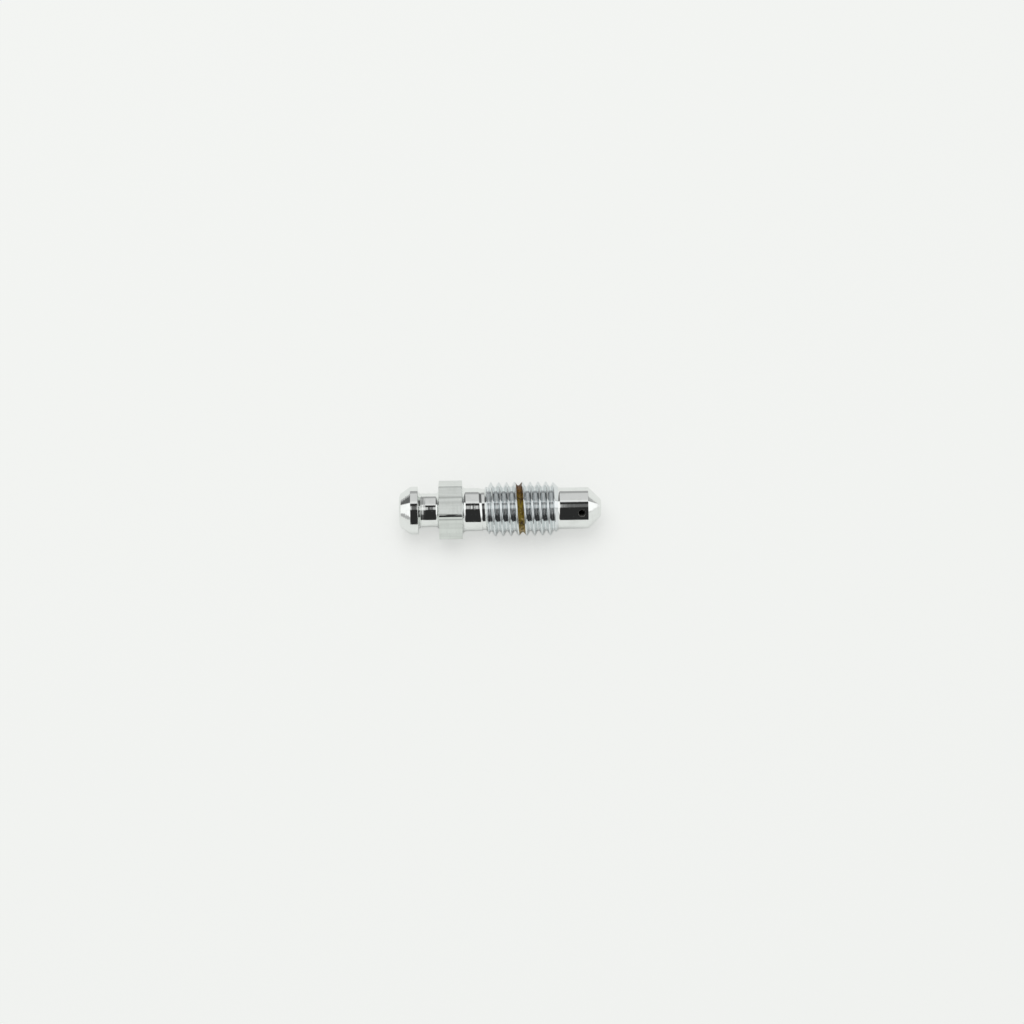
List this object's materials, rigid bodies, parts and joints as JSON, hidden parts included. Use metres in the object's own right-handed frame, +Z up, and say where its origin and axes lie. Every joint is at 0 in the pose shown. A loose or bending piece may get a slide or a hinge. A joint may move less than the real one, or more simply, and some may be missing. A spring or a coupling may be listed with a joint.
{
  "type": "bleeder screw",
  "caption": "Hollow brake bleeder screw with hose barb, hexagon, fine metric thread, plain nose and conical seat, and one turn of dried sealant in its thread.",
  "frame": {"origin": "on the axis of the screw, where the plain nose meets the sealing cone", "axes": "+X along the axis towards the tip of the sealing cone, the hose end towards -X; +Z up from the surface that the screw lies on, square to one flat of the hexagon"},
  "size_m": [0.0257, 0.0078, 0.0068],
  "materials": {
    "plated_steel": "bright plated, turned",
    "dried_sealant": "dried, mottled, half matte"
  },
  "bodies": {
    "root": {"screw_body": "plated_steel", "sealant_band": "dried_sealant"}
  },
  "joints": []
}
